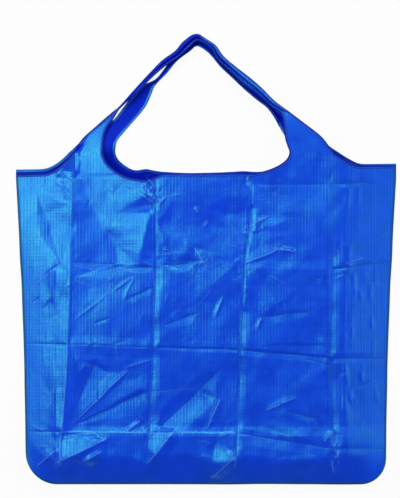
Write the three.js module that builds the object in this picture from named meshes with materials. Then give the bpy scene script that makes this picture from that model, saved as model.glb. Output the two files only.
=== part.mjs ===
// A folding shopping bag of thin ripstop cloth, empty and lying on its back with its mouth a little open.
// Millimetres. X runs to the bag's right, Y from the bottom edge towards the handles and Z up from the
// surface that the bag lies on. The bag is moved at the end so that the origin is under its middle.

import * as THREE from "three";

const { clamp, lerp, smoothstep } = THREE.MathUtils;

// Driving dimensions: outline of the cloth
const mouthWidth = 540; // across the side seams at their tops
const baseWidth = 510; // across the side seams at the bottom corners
const sideHeight = 435; // bottom edge to the front cloth's edge at the side seams
const mouthDip = 8; // from the side seam tops down to the front cloth's edge at the middle of the mouth
const fullHeight = 640; // bottom edge to the top of the handles
const cornerRadius = 44; // bottom corners
const sideBow = 3; // how far the sides draw in at half height
const backRiseLeft = 6.5; // from the front's top edge to the back's, at the left side seam
const backRiseRight = 14; // the same at the right side seam

// Driving dimensions: folding creases
const foldPitch = 122; // between the creases that the bag folds along into a square, at the mouth
const foldSpread = 6; // added to the pitch at the bottom edge
const firstFold = 68; // bottom edge to the lowest level crease, at the bag's middle
const foldSlope = -18; // rise of a level crease across the bag
const faceCentre = -7; // middle of the creased face, off the bag's middle
const creaseDepth = 6; // of the valleys along the upright creases
const creaseFall = 30; // run of a valley's long side
const creaseRise = 9; // run of a valley's short side
const crossDepth = 4; // of the valleys along the level creases
const ridgeDrop = 4; // from the ridge at the left gusset down to the face
const foldRun = 24; // how far a slack fold in the face spreads to each side

// Driving dimensions: shape in which the bag lies
const wall = 1; // thickness given to the cloth
const seamGap = 0.3; // clearance between pieces that are sewn together
const seamLift = 6; // side and bottom seams above the surface
const faceLift = 34; // front face above the surface
const lipLift = 25; // front lip at the mouth above the surface
const bottomRoll = 64; // run over which the front curves down to the bottom seam
const lipRun = 130; // run over which the front face comes down to the lip
const backCurl = 36; // margin of the back that curves up to the seams

// Driving dimensions: handles
const strapRise = 36; // from the side seam tops to the line where a strap starts
const mouthCornerRun = 66; // run of the curve from a strap down to the mouth
const mouthCornerPower = 1.8; // how full that curve is, where 2 is an ellipse
const handleCentre = -13; // top of the handles, off the bag's middle
const bundleHalfWidth = 4.5; // gathered strap, across
const bundleHalfDepth = 3.2; // gathered strap, up and down
const crownOut = 33; // from the top's middle out to where a strap turns over
const crownDrop = 26; // from the top of a strap's bend down to there
const backCrownDrop = 8; // from the front handle's top down to the back's

// Driving dimensions: binding tape
const tapeWidth = 5;
const tapeDepth = 2;

// How each panel's straps start and where they are gathered, measured from the top of the handles
const frontStraps = {
  leftWidth: 39,
  rightWidth: 59,
  leftNeck: { out: 128, below: 121 },
  rightNeck: { out: 126, below: 116 },
};
const backStraps = {
  leftWidth: 56,
  rightWidth: 46,
  leftNeck: { out: 66, below: 74 },
  rightNeck: { out: 93, below: 91 },
};

// Slack folds of the face: ends counted in creased squares across and up, and height, below zero for a valley
const slackFolds = [
  { from: [1.03, 0.11], to: [1.34, 0.87], height: 4 },
  { from: [1.03, 0.11], to: [1.87, 0.75], height: 5 },
  { from: [1.93, -0.27], to: [2.74, 0.73], height: 6 },
  { from: [0.84, -0.16], to: [1.5, 0.19], height: 5 },
  { from: [3.22, 0.26], to: [3.93, -0.15], height: -4 },
  { from: [2.74, 0.03], to: [2.63, -0.41], height: 4 },
  { from: [2.26, 2.26], to: [2.89, 1.74], height: 4 },
  { from: [1.09, 2.94], to: [1.47, 2.26], height: -5 },
  { from: [1.47, 2.26], to: [1.92, 1.74], height: -4 },
];

// Mesh steps
const strapColumns = 4;
const strapSteps = [7, 6, 4]; // from the strap line to the neck, the crown and the top
const highSteps = 3; // rows from the top of the creased face to the cloth's edge
const tapeRows = 6; // strap rows that the tape runs up before the strap is gathered
const taperRows = 3; // rows over which the tape then folds away to nothing
const gussetShares = [0, 0.06, 0.2, 0.42, 0.7]; // columns of a gusset, from its side seam in

// Outline of the body

const mouthHeight = sideHeight - mouthDip;

function sideX(y) {
  const share = clamp(y / sideHeight, 0, 1);
  return lerp(baseWidth, mouthWidth, share) / 2 - sideBow * Math.sin(Math.PI * share);
}

function creaseX(index, y) {
  const pitch = lerp(foldPitch + foldSpread, foldPitch, y / sideHeight);
  return faceCentre + (index - 1.5) * pitch;
}

// Lines that run up the bag: left side, four creases, right side.
function guideX(index, y) {
  if (index === 0) return -sideX(y);
  if (index === 5) return sideX(y);
  return creaseX(index - 1, y);
}

// A level crease is counted from the lowest, and a fraction is a place between two.
function levelY(index, x) {
  return firstFold + index * foldPitch + foldSlope * (x / mouthWidth);
}

// A column is a guide number with a fraction: 1.5 is half way between the first two creases.
function columnX(column, y) {
  const index = Math.min(Math.floor(column), 4);
  return lerp(guideX(index, y), guideX(index + 1, y), column - index);
}

function bottomY(x) {
  const inset = sideX(0) - Math.abs(x);
  if (inset >= cornerRadius) return 0;
  const reach = cornerRadius - Math.max(inset, 0);
  return cornerRadius - Math.sqrt(cornerRadius ** 2 - reach ** 2);
}

// How far the back's top edge stands above the front's at a place across the bag.
function backRise(x) {
  return lerp(backRiseLeft, backRiseRight, x / mouthWidth + 0.5);
}

// Columns from the left side to the right, with the strap ends at known places in the list.
function panelColumns(straps, mouthSteps) {
  const leftInner = 1 + straps.leftWidth / foldPitch;
  const rightInner = 4 - straps.rightWidth / foldPitch;
  const shortRun = creaseRise / foldPitch;
  const longRun = creaseFall / foldPitch;
  const columns = [];
  const span = (from, to, steps) => {
    for (let i = 0; i < steps; i++) columns.push(lerp(from, to, i / steps));
  };
  columns.push(...gussetShares);
  const leftOuterAt = columns.length;
  span(1, leftInner, strapColumns);
  const leftInnerAt = columns.length;
  span(leftInner, 2 - longRun, mouthSteps);
  span(2 - longRun, 2, 2);
  span(2, 2 + shortRun, 1);
  span(2 + shortRun, 3 - longRun, mouthSteps);
  span(3 - longRun, 3, 1);
  span(3, 3 + shortRun, 1);
  span(3 + shortRun, rightInner, mouthSteps);
  const rightInnerAt = columns.length;
  span(rightInner, 4, strapColumns);
  const rightOuterAt = columns.length;
  const gussetWidth = sideX(sideHeight) - creaseX(3, sideHeight);
  columns.push(4, 4 + creaseRise / gussetWidth);
  columns.push(...gussetShares.map((share) => 5 - share).reverse());
  return { columns, leftOuterAt, leftInnerAt, rightInnerAt, rightOuterAt };
}

// Top edge of the body at a column: side seam, shoulder curve, strap line, mouth curve and mouth.
function topY(column, layout, riseAt) {
  const { columns, leftInnerAt, rightInnerAt } = layout;
  const strapLine = sideHeight + strapRise;
  const rise = riseAt(columnX(column, sideHeight));
  const sideTop = sideHeight + rise;
  const mouthTop = mouthHeight + rise;
  const shoulder = (share) => lerp(sideTop, strapLine, Math.max(0, 2 * share - 1) ** 2);
  if (column < 1) return shoulder(column);
  if (column > 4) return shoulder(5 - column);
  const toLeft = (column - columns[leftInnerAt]) * foldPitch;
  const toRight = (columns[rightInnerAt] - column) * foldPitch;
  const toStrap = Math.min(toLeft, toRight);
  if (toStrap <= 0) return strapLine;
  const toMouth = (1 - Math.min(toStrap / mouthCornerRun, 1)) ** mouthCornerPower;
  return lerp(strapLine, mouthTop, (1 - toMouth) ** (1 / mouthCornerPower));
}

// Heights of the lying cloth

function valley(distance, fall, rise) {
  return Math.max(0, 1 - (distance < 0 ? -distance / fall : distance / rise));
}

// Height of the slack folds at a place on the face, each a ridge or valley that fades at its ends.
function slackZ(x, y) {
  let height = 0;
  for (const fold of slackFolds) {
    const [from, to] = [fold.from, fold.to].map(([column, row]) => {
      const endX = columnX(column, levelY(row, 0));
      return new THREE.Vector2(endX, levelY(row, endX));
    });
    const along = to.clone().sub(from);
    const reach = new THREE.Vector2(x, y).sub(from);
    const share = clamp(reach.dot(along) / along.lengthSq(), 0, 1);
    const away = reach.sub(along.multiplyScalar(share)).length();
    const fade = Math.sin(Math.PI * lerp(0.15, 0.85, share));
    height += fold.height * fade * Math.max(0, 1 - away / foldRun);
  }
  return height;
}

function frontZ(x, y) {
  const seamZ = seamLift + (wall + seamGap) / 2;
  const left = creaseX(0, y);
  const right = creaseX(3, y);
  const side = sideX(y);
  let share = 1;
  if (x < left) share = (x + side) / (left + side);
  if (x > right) share = (side - x) / (side - right);
  share = clamp(share, 0, 1);
  let crease = 0;
  for (const index of [1, 2, 3]) {
    crease = Math.max(crease, creaseDepth * valley(x - creaseX(index, y), creaseFall, creaseRise));
  }
  for (const index of [0, 1, 2]) {
    crease = Math.max(crease, crossDepth * valley(levelY(index, x) - y, creaseFall, creaseRise));
  }
  const relief = crease + ridgeDrop * smoothstep(x - left, 0, creaseFall) - slackZ(x, y);
  const lift = lerp(faceLift, lipLift + creaseDepth, smoothstep(y, mouthHeight - lipRun, mouthHeight));
  const roll = Math.sin((Math.PI / 2) * clamp((y - bottomY(x)) / bottomRoll, 0, 1));
  return seamZ + (lift - seamZ - relief) * share * roll;
}

function backZ(x, y) {
  const seamZ = seamLift - (wall + seamGap) / 2;
  const inset = Math.min(sideX(y) - Math.abs(x), y - bottomY(x));
  const curl = clamp(1 - inset / backCurl, 0, 1) ** 2;
  return lerp(wall / 2, seamZ, curl);
}

// Handle: edge curves from strap line to strap line over the top

function handleEdges(straps, layout, riseAt, crownBelow) {
  const strapLine = sideHeight + strapRise;
  const leftInner = layout.columns[layout.leftInnerAt];
  const rightInner = layout.columns[layout.rightInnerAt];
  const onBody = (column, y) => new THREE.Vector2(columnX(column, y), y);
  const fromTop = (out, below) => new THREE.Vector2(handleCentre + out, fullHeight - below);
  const path = [
    fromTop(-straps.leftNeck.out, straps.leftNeck.below),
    fromTop(-crownOut, crownBelow + crownDrop),
    fromTop(0, crownBelow),
    fromTop(crownOut, crownBelow + crownDrop),
    fromTop(straps.rightNeck.out, straps.rightNeck.below),
  ];
  const leftTop = sideHeight + riseAt(-sideX(sideHeight));
  const rightTop = sideHeight + riseAt(sideX(sideHeight));
  const outer = [onBody(0.5, leftTop), onBody(1, strapLine)];
  const inner = [onBody(leftInner, mouthHeight), onBody(leftInner, strapLine)];
  path.forEach((point, i) => {
    const before = path[Math.max(i - 1, 0)];
    const after = path[Math.min(i + 1, path.length - 1)];
    const along = after.clone().sub(before).normalize();
    const outwards = new THREE.Vector2(-along.y, along.x).multiplyScalar(bundleHalfWidth);
    outer.push(point.clone().add(outwards));
    inner.push(point.clone().sub(outwards));
  });
  outer.push(onBody(4, strapLine), onBody(4.5, rightTop));
  inner.push(onBody(rightInner, strapLine), onBody(rightInner, mouthHeight));
  const curve = (points) => new THREE.CatmullRomCurve3(points.map((p) => new THREE.Vector3(p.x, p.y, 0)));
  return { outer: curve(outer), inner: curve(inner), spans: outer.length - 1 };
}

// A sheet is a list of points with a half depth each, joined by four-sided faces.
function newSheet() {
  return { points: [], halves: [], faces: [] };
}

function addPoint(sheet, x, y, z, half) {
  sheet.points.push(new THREE.Vector3(x, y, z));
  sheet.halves.push(half);
  return sheet.points.length - 1;
}

function joinRows(sheet, rows) {
  for (let row = 0; row + 1 < rows.length; row++) {
    const [low, high] = [rows[row], rows[row + 1]];
    for (let i = 0; i + 1 < low.length; i++) sheet.faces.push([low[i], low[i + 1], high[i + 1], high[i]]);
  }
}

// Body of a panel, in rows from the bottom edge up to the mouth, shoulders and strap lines.
function bodySheet({ riseAt, heightAt, foldRows }, layout) {
  const sheet = newSheet();
  const levels = [];
  for (let fold = 0; fold < 3; fold++) {
    for (const share of foldRows) levels.push(fold + share);
  }
  const topLevel = mouthHeight - creaseRise;
  const kept = levels.filter((level) => levelY(level, -mouthWidth / 2) < topLevel - creaseRise);
  const lowSteps = foldRows.length;
  const grid = [];
  for (let row = 0; row < lowSteps; row++) grid.push({ low: row / lowSteps });
  kept.forEach((level) => grid.push({ level }));
  for (let row = 0; row <= highSteps; row++) grid.push({ high: row / highSteps });
  const rows = grid.map((row) =>
    layout.columns.map((column) => {
      const foot = bottomY(columnX(column, 0));
      const top = topY(column, layout, riseAt);
      let y = levelY(row.level ?? 0, columnX(column, levelY(row.level ?? 0, 0)));
      if (row.low !== undefined) y = lerp(foot, y, row.low);
      if (row.high !== undefined) y = lerp(topLevel, top, row.high);
      const x = columnX(column, y);
      return addPoint(sheet, x, y, heightAt(x, y), wall / 2);
    }),
  );
  joinRows(sheet, rows);
  return { sheet, top: rows[rows.length - 1].map((index) => sheet.points[index]) };
}

// One strap, in rows from its base on the strap line to the top of the handle, outer edge first. The points
// of its base are the body's, and the strap starts a seam's gap above them.
function strapSheet(base, edges, bundleZ, isLeft) {
  const sheet = newSheet();
  const rows = [base.map(({ x, y, z }) => addPoint(sheet, x, y + seamGap, z, wall / 2))];
  strapSteps.forEach((steps, segment) => {
    for (let step = 1; step <= steps; step++) {
      const along = step / steps;
      const fromLeft = (1 + segment + along) / edges.spans;
      const t = isLeft ? fromLeft : 1 - fromLeft;
      const atTop = segment === strapSteps.length - 1 && step === steps;
      const shift = atTop ? ((isLeft ? -1 : 1) * seamGap) / 2 : 0;
      const outer = edges.outer.getPoint(t);
      const inner = edges.inner.getPoint(t);
      const gathered = segment === 0 ? smoothstep(along, 0, 1) : 1;
      const row = base.map((start, i) => {
        const across = i / strapColumns;
        const place = outer.clone().lerp(inner, across);
        const bulge = Math.sqrt(1 - (2 * across - 1) ** 2);
        const half = wall / 2 + (bundleHalfDepth - wall / 2) * gathered ** 3 * bulge;
        return addPoint(sheet, place.x + shift, place.y, lerp(start.z, bundleZ, gathered), half);
      });
      rows.push(row);
    }
  });
  joinRows(sheet, isLeft ? rows : rows.map((row) => row.slice().reverse()));
  const edge = (i) => rows.slice(1, tapeRows + 1).map((row) => sheet.points[row[i]]);
  return { sheet, outerEdge: edge(0), innerEdge: edge(strapColumns) };
}

// A panel: its body, its two straps and the edges that carry tape, each with the cloth on its right.
function panelSheets(panel) {
  const layout = panelColumns(panel.straps, panel.mouthSteps);
  const { leftOuterAt, leftInnerAt, rightInnerAt, rightOuterAt } = layout;
  const body = bodySheet(panel, layout);
  const { top } = body;
  const edges = handleEdges(panel.straps, layout, panel.riseAt, panel.crownBelow);
  const leftBase = top.slice(leftOuterAt, leftInnerAt + 1);
  const rightBase = top.slice(rightInnerAt, rightOuterAt + 1).reverse();
  const left = strapSheet(leftBase, edges, panel.bundleZ, true);
  const right = strapSheet(rightBase, edges, panel.bundleZ, false);
  const mouth = top.slice(leftInnerAt, rightInnerAt + 1);
  return {
    body: body.sheet,
    leftStrap: left.sheet,
    rightStrap: right.sheet,
    mouthTape: tapeSheet([...left.innerEdge.slice().reverse(), ...mouth, ...right.innerEdge], true, true),
    leftShoulderTape: tapeSheet([...top.slice(0, leftOuterAt + 1), ...left.outerEdge], false, true),
    rightShoulderTape: tapeSheet([...right.outerEdge.slice().reverse(), ...top.slice(rightOuterAt)], true, false),
  };
}

// Closed solid from a sheet: the points moved up and down by their half depth, and a rim round every edge.
function thicken({ points, halves, faces }) {
  const positions = [];
  points.forEach((point, i) => positions.push(point.x, point.y, point.z + halves[i]));
  points.forEach((point, i) => positions.push(point.x, point.y, point.z - halves[i]));
  const under = points.length;
  const indices = [];
  const directed = new Set();
  const key = (a, b) => `${a} ${b}`;
  for (const [a, b, c, d] of faces) {
    indices.push(a, b, c, a, c, d);
    indices.push(under + a, under + c, under + b, under + a, under + d, under + c);
    for (const [from, to] of [[a, b], [b, c], [c, d], [d, a]]) directed.add(key(from, to));
  }
  for (const face of faces) {
    face.forEach((from, i) => {
      const to = face[(i + 1) % face.length];
      if (directed.has(key(to, from))) return;
      indices.push(to, from, under + from, to, under + from, under + to);
    });
  }
  const geometry = new THREE.BufferGeometry();
  geometry.setAttribute("position", new THREE.Float32BufferAttribute(positions, 3));
  geometry.setIndex(indices);
  geometry.computeVertexNormals();
  return geometry;
}

// Tape beside a run of a panel's edge, its lower face level with the cloth's. It can fold away at its ends.
function tapeSheet(run, startFolds, endFolds) {
  const sheet = newSheet();
  const rows = run.map((point, i) => {
    const before = run[Math.max(i - 1, 0)];
    const after = run[Math.min(i + 1, run.length - 1)];
    const along = new THREE.Vector2(after.x - before.x, after.y - before.y).normalize();
    const z = point.z - wall / 2 + tapeDepth / 2;
    const fromStart = startFolds ? (i + 1) / taperRows : 1;
    const fromEnd = endFolds ? (run.length - i) / taperRows : 1;
    const width = tapeWidth * Math.min(fromStart, fromEnd, 1);
    return [seamGap + width, seamGap].map((reach) =>
      addPoint(sheet, point.x - along.y * reach, point.y + along.x * reach, z, tapeDepth / 2),
    );
  });
  joinRows(sheet, rows);
  return sheet;
}

// The two panels

const panels = {
  front: panelSheets({
    straps: frontStraps,
    riseAt: () => 0,
    heightAt: frontZ,
    bundleZ: 3 * bundleHalfDepth + seamGap,
    crownBelow: bundleHalfWidth,
    mouthSteps: 5,
    foldRows: [0, 0.2, 0.4, 0.6, 1 - creaseFall / foldPitch, 1 - creaseRise / foldPitch],
  }),
  back: panelSheets({
    straps: backStraps,
    riseAt: backRise,
    heightAt: backZ,
    bundleZ: bundleHalfDepth,
    crownBelow: bundleHalfWidth + backCrownDrop,
    mouthSteps: 5,
    foldRows: [0, 0.33, 0.67],
  }),
};

// Materials and meshes

function ripstop() {
  return new THREE.MeshStandardMaterial({ color: 0x1a5cd8, roughness: 0.45, metalness: 0 });
}

function tape() {
  return new THREE.MeshStandardMaterial({ color: 0x2450d4, roughness: 0.5, metalness: 0 });
}

const bag = new THREE.Group();
bag.name = "shopping_bag";
bag.position.y = -fullHeight / 2;

function addPiece(name, sheet, material) {
  const piece = new THREE.Mesh(thicken(sheet), material);
  piece.name = name;
  bag.add(piece);
}

for (const [side, panel] of Object.entries(panels)) {
  addPiece(`${side}_panel`, panel.body, ripstop());
  addPiece(`${side}_left_strap`, panel.leftStrap, ripstop());
  addPiece(`${side}_right_strap`, panel.rightStrap, ripstop());
  addPiece(`${side}_mouth_tape`, panel.mouthTape, tape());
  addPiece(`${side}_left_shoulder_tape`, panel.leftShoulderTape, tape());
  addPiece(`${side}_right_shoulder_tape`, panel.rightShoulderTape, tape());
}

const shoppingBag = new THREE.Group();
shoppingBag.add(bag);
export default shoppingBag;
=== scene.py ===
"""A folding shopping bag of thin blue ripstop cloth, empty and lying on its back, with its two cloth
handles drawn together above the mouth.

The cloth is worked out in millimetres in the bag's own frame: X to the bag's right, Y from the bottom
edge towards the handles, Z up from the floor. Each mesh is moved into the shared frame, in metres, when
it is made.
"""
import math
from collections import namedtuple

import bpy
import numpy as np
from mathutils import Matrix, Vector


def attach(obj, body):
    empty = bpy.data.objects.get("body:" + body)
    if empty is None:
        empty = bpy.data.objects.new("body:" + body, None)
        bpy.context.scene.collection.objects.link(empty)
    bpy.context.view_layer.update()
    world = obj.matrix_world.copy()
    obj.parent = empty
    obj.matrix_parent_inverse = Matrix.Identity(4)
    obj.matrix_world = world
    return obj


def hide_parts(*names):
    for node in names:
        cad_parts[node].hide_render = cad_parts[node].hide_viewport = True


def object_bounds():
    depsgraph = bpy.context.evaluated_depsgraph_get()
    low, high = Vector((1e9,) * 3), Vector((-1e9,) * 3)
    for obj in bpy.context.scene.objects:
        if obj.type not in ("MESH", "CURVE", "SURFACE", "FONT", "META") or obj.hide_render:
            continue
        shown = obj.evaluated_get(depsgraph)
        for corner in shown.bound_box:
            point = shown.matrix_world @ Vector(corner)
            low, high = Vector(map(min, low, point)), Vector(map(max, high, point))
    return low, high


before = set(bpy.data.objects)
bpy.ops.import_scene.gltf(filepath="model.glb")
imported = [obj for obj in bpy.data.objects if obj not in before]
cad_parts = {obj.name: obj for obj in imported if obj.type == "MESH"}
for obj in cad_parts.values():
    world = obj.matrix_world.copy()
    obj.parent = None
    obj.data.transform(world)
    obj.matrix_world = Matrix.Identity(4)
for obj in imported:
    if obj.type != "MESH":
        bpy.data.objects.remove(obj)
cad_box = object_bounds()

# Outline of the cloth
METRE = 1000.0
MOUTH_WIDTH = METRE * (cad_box[1].x - cad_box[0].x)
FULL_HEIGHT = METRE * (cad_box[1].y - cad_box[0].y)
BASE_WIDTH = 510.0
SIDE_HEIGHT = 435.0
MOUTH_HEIGHT = SIDE_HEIGHT - 8.0
CORNER_RADII = (46.0, 37.0)
SIDE_BOW = 3.0
EDGE_WANDER = 0.8
STRAP_LINE = SIDE_HEIGHT + 36.0
SHOULDER_STARTS = (0.5, 0.62)  # shares of the way from each side to its strap where the shoulder rises
SHOULDER_POWERS = (1.8, 1.25)
MOUTH_CORNER_RUN = 62.0
MOUTH_CORNER_POWER = 1.8
LIP_STEP = (-85.0, -55.0)  # the mouth's edge goes from its left height to its right one between these
HEM = 5.3  # bound edges stand this far outside the solids' cloth edge

# Folding creases
FOLD_PITCH = 122.0
GUSSET = 88.0
UPRIGHTS = [  # each as heights above the bottom edge and places across
    [(0, -207), (57, -206), (120, -200), (198, -195.5), (316, -190.5), (435, -189)],
    [(0, -86), (33, -84), (84, -79.5), (198, -74), (316, -71.5), (435, -71)],
    [(0, 41), (40, 42.5), (120, 46), (198, 49.5), (255, 52), (316, 55), (345, 59), (395, 64.5), (435, 65)],
    [(0, 181), (57, 180), (120, 177), (198, 176), (316, 177.5), (435, 177.5)],
]
LAST_COLUMN = len(UPRIGHTS) + 1  # column 0 is the left side, and this one is the right side
LEVEL_CREASES = [  # heights at the left side, at the four upright creases and at the right side
    (76, 76, 75, 74, 52, 52),
    (200, 200, 196, 191, 180, 179),
    (318, 316, 309, 307, 305, 316),
]
CREASE_WANDER = 0.8
CREASE_WANDER_CELL = 35.0
CREASE_UNEVEN = 0.25
LEVEL_EASE = 0.08  # share of a column over which a level crease starts and ends
UPRIGHT_PRESS = [  # how hard each upright crease is pressed, at heights above the bottom edge
    [(190, 0.8), (210, -0.8)],
    [(0, -0.8)],
    [(0, -0.8)],
    [(0, -0.8)],
]
PRESS_FADE = (26.0, 42.0)  # upright lines start to show between these heights
LEVEL_PRESS = 0.7
FULL_PRESS = 1.2  # height of a fold whose line is pressed fully
LINE_ENDS = 3.0  # how much sooner than its fold a pressed line reaches its full strength
SHARP_RUN = 10.0  # a level crease wider than this on both sides leaves no line
LINE_REACH = 4.0
GROOVE_DEPTH = 0.9
GROOVE_RUN = 2.0
# width of the painted shade along the side and bottom seams
SEAM_RUN = 2.2
STRIP_CURVE = 1.4  # above one, the strip right of a crease levels out
RIGHT_CREST = 19.0  # the right gusset falls away this far right of its crease

# The left crease is a low ridge: the fall to its right, and its run, at heights above the bottom edge
RIDGE_DROP = [(70, 0), (84, 2.8), (150, 2.8), (200, 0.4), (300, 0.8), (330, 1.8), (440, 1.8)]
RIDGE_RUN = [(0, 26), (150, 26), (200, 4), (300, 30), (330, 40), (400, 26), (440, 12)]

# Shape in which the bag lies
CLOTH = 0.3
UNDER_SAG = 0.5  # room for the coarse underside below the fine upper side, away from the edges
SEAM_LIFT = 6.0
FACE_LIFT = 34.0
LIP_LIFT = 33.0
BOTTOM_ROLLS = [  # how far up the face the bottom is rolled under, at places across
    (-250, 44), (-215, 34), (-185, 32), (-150, 44), (-100, 40), (-84, 30), (-60, 44), (-8, 44), (6, 34),
    (40, 34), (54, 44), (110, 36), (176, 40), (250, 44),
]
ROLL_POWER = 1.45
LIP_RUN = 130.0
LEFT_SEAM_DROP = 3.5
LEFT_SEAM_RISE = 10.0
LEFT_SEAM_RUN = 320.0
BOTTOM_SEAM_RISE = 9.0
BOTTOM_SEAM_RUN = 90.0
LEFT_FALL = (360.0, 440.0)  # heights between which the left seam sinks
LEFT_REACH = 100.0  # how far left of the middle the left seam's own height is reached
GUSSET_BEND = 0.1
GUSSET_EASE = 12.0
GUSSET_RIPPLE = 0.35  # upright slackness in the gussets
FACE_RIPPLE = 0.1
RIPPLE_CELL = 46.0
RIPPLE_NARROWING = 5.0
FOLD_WANDER = 1.6  # how far folds stray from ruled lines
FOLD_WANDER_CELL = 26.0
FACE_WAVES = [(1.5, 55, 21), (0.6, 21, 22), (0.16, 8, 23)]  # heights, cells and seeds
BACK_WAVES = [(0.5, 34, 31), (0.2, 11, 32)]
BACK_LIFT = 1.4
BACK_CURL = 36.0
BACK_LIP_LIFT = 9.0
BACK_LIP_RUN = 24.0
BACK_LIP_POWER = 1.5
BACK_LIP_INSET = (6.0, 66.0)  # the lip rises between these distances from the seams
PANEL_GAP = 4 * CLOTH

# Handles
STRAP_CLOTH = 31.0  # width of the cut strap where it is narrow
STRAP_FOLDS = 1.5  # waves of cloth across a gathered strap
MOST_SWING = 2.1  # steepest turn of those waves, in radians
STRAP_EASE = 32.0  # length over which a strap takes up its own tilt
STEEPEST_BASE = 0.2
STRAP_UNEVEN = 0.16
STRAP_UNEVEN_CELL = 16.0
CURL_START = 0.7  # share of a strap's width where its inner edge starts to turn up
ROLLED_FINISH = {"front": 1, "back": 0}  # which of a panel's two finishes is its inside
ROLLED_END = -8.0  # left of this place a gathered strap takes its panel's darker inside finish, as painted shade
ROLLED_SHARE = 0.6  # how far gathered a strap has to be for that
# painted shade over a gathered strap, at its full gathering
GATHERED_SHADE = 0.3

# Mesh steps
CLOSER = 0.3  # how much closer the steps are at the creases
STRAP_CELLS = 22
SIDE_POWER = 1.2  # above one, steps are closer at the side seams
BOTTOM_POWER = 1.15  # and at the bottom seam

# Cloth finish
# painted highlight along pressed ridges
PAINTED_RIDGE_HIGHLIGHT = 0.6
# painted shade in pressed valleys
PAINTED_VALLEY_SHADE = 0.7
DULLING = 0.3  # dark lines are rougher
TONE_RANGE = (0.3, 0.7)
TONE_SHADES = (0.9, 1.06)
GLOSS_SPREAD = 0.05
CROSS_RIBS = 0.55  # the thick threads across show less than the upright ones
FINE_THREADS = 0.006

# Binding and thread
TAPE_REACH = (0.0, 1.4, 2.8, 3.8)  # places across the tape, from the cloth's edge in
TAPE_SHADE = (1.0, 0.45, 0.0, 1.0)  # painted shade on the tape at those places, darkest along its edges
TAPE_PLY = 0.3
TAPE_PUCKER = 0.35
TAPE_PUCKER_CELL = 5.0
STITCH_PLACE = 2  # which of those places carries the stitches
STITCH_PITCH = 3.1
STITCH_LENGTH = 2.3
STITCH_RADIUS = 0.26

# Photograph
PHOTO_SIZE = (400, 498)  # pixels
PHOTO_SCALE = 1.42  # millimetres of bag to one pixel
PHOTO_CENTRE = (-8.5, 334.5)  # place on the bag at the middle of the photograph


def lerp(a, b, t):
    return a + (b - a) * t


def smooth(t):
    t = np.clip(t, 0.0, 1.0)
    return t * t * (3 - 2 * t)


def ease(value, low, high):
    """Zero up to the low value, one from the high value, and smooth between them."""
    return smooth((value - low) / (high - low))


def read_guides(guides, at):
    """Value at a place or height, from pairs of a place and its value."""
    places, values = zip(*guides)
    return np.interp(at, places, values)


def unit(vectors):
    return vectors / np.linalg.norm(vectors, axis=-1, keepdims=True)


def run_along(points):
    """Distance of each point along a line of points."""
    steps = np.linalg.norm(np.diff(points, axis=0), axis=1)
    return np.concatenate([[0], np.cumsum(steps)])


def read_along(places, reach, values):
    """Points at places along a line, from the distances along it and the values there."""
    return np.stack([np.interp(places, reach, values[:, axis]) for axis in range(3)], axis=1)


def drift(x, y, cell, seed):
    """Smooth noise from -1 to 1 whose bumps are about one cell across."""
    x, y = np.broadcast_arrays(np.asarray(x, float), np.asarray(y, float))
    grid = np.random.default_rng(seed).uniform(-1, 1, (257, 257))
    u = np.mod(x / cell + 100.5, 256)
    v = np.mod(y / cell + 100.5, 256)
    i, j = u.astype(int), v.astype(int)
    s, t = smooth(u - i), smooth(v - j)
    low = lerp(grid[i, j], grid[i + 1, j], s)
    high = lerp(grid[i, j + 1], grid[i + 1, j + 1], s)
    return lerp(low, high, t)


def waves(x, y, layers):
    return sum(height * drift(x, y, cell, seed) for height, cell, seed in layers)


# Outline of the body

def side_x(y):
    share = np.clip(y / SIDE_HEIGHT, 0.0, 1.0)
    wander = EDGE_WANDER * drift(y, y * 0, cell=38, seed=82) * np.sin(np.pi * share)
    return lerp(BASE_WIDTH, MOUTH_WIDTH, share) / 2 - SIDE_BOW * np.sin(np.pi * share) + wander


def crease_x(index, y):
    wander = CREASE_WANDER * drift(y, FOLD_PITCH * index, CREASE_WANDER_CELL, seed=13)
    return read_guides(UPRIGHTS[index], y) + wander


def level_y(index, column):
    """Height of a level crease, or of a row between two of them, at a column."""
    low = min(int(index), len(LEVEL_CREASES) - 2)
    guides = np.arange(LAST_COLUMN + 1)
    below = np.interp(column, guides, LEVEL_CREASES[low])
    above = np.interp(column, guides, LEVEL_CREASES[low + 1])
    wander = CREASE_WANDER * drift(FOLD_PITCH * column, FOLD_PITCH * index, CREASE_WANDER_CELL, seed=14)
    return lerp(below, above, index - low) + wander


def upright_lines(y):
    """Places of the left side, the four upright creases and the right side."""
    return [-side_x(y)] + [crease_x(index, y) for index in range(len(UPRIGHTS))] + [side_x(y)]


def column_x(column, y):
    """Place across of a column: a side, an upright crease or a share of the way between two of them."""
    column, y = np.broadcast_arrays(np.asarray(column, float), np.asarray(y, float))
    guides = np.stack(upright_lines(y))
    low = np.minimum(column.astype(int), LAST_COLUMN - 1)
    left = np.take_along_axis(guides, low[None], 0)[0]
    right = np.take_along_axis(guides, low[None] + 1, 0)[0]
    return lerp(left, right, column - low)


def column_at(x, y):
    lines = upright_lines(y)
    column = np.zeros_like(x)
    for left, right in zip(lines, lines[1:]):
        column += np.clip((x - left) / (right - left), 0, 1)
    return column


def bottom_y(x):
    radius = np.where(np.asarray(x) < 0, *CORNER_RADII)
    reach = np.clip(radius - (side_x(0.0) - np.abs(x)), 0.0, radius)
    wander = EDGE_WANDER * (1 + drift(x, np.zeros_like(x), cell=55, seed=83)) * (1 - reach / radius)
    return radius - np.sqrt(radius**2 - reach**2) + wander


# Folds of the lying cloth. A fold is a roof along a line, with a run to the left and right of the way from
# its start to its end, and it tapers over a share of its length at each end. Below zero it is a valley.

Fold = namedtuple("Fold", "start end height left right taper", defaults=[(0.3, 0.3)])

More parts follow.
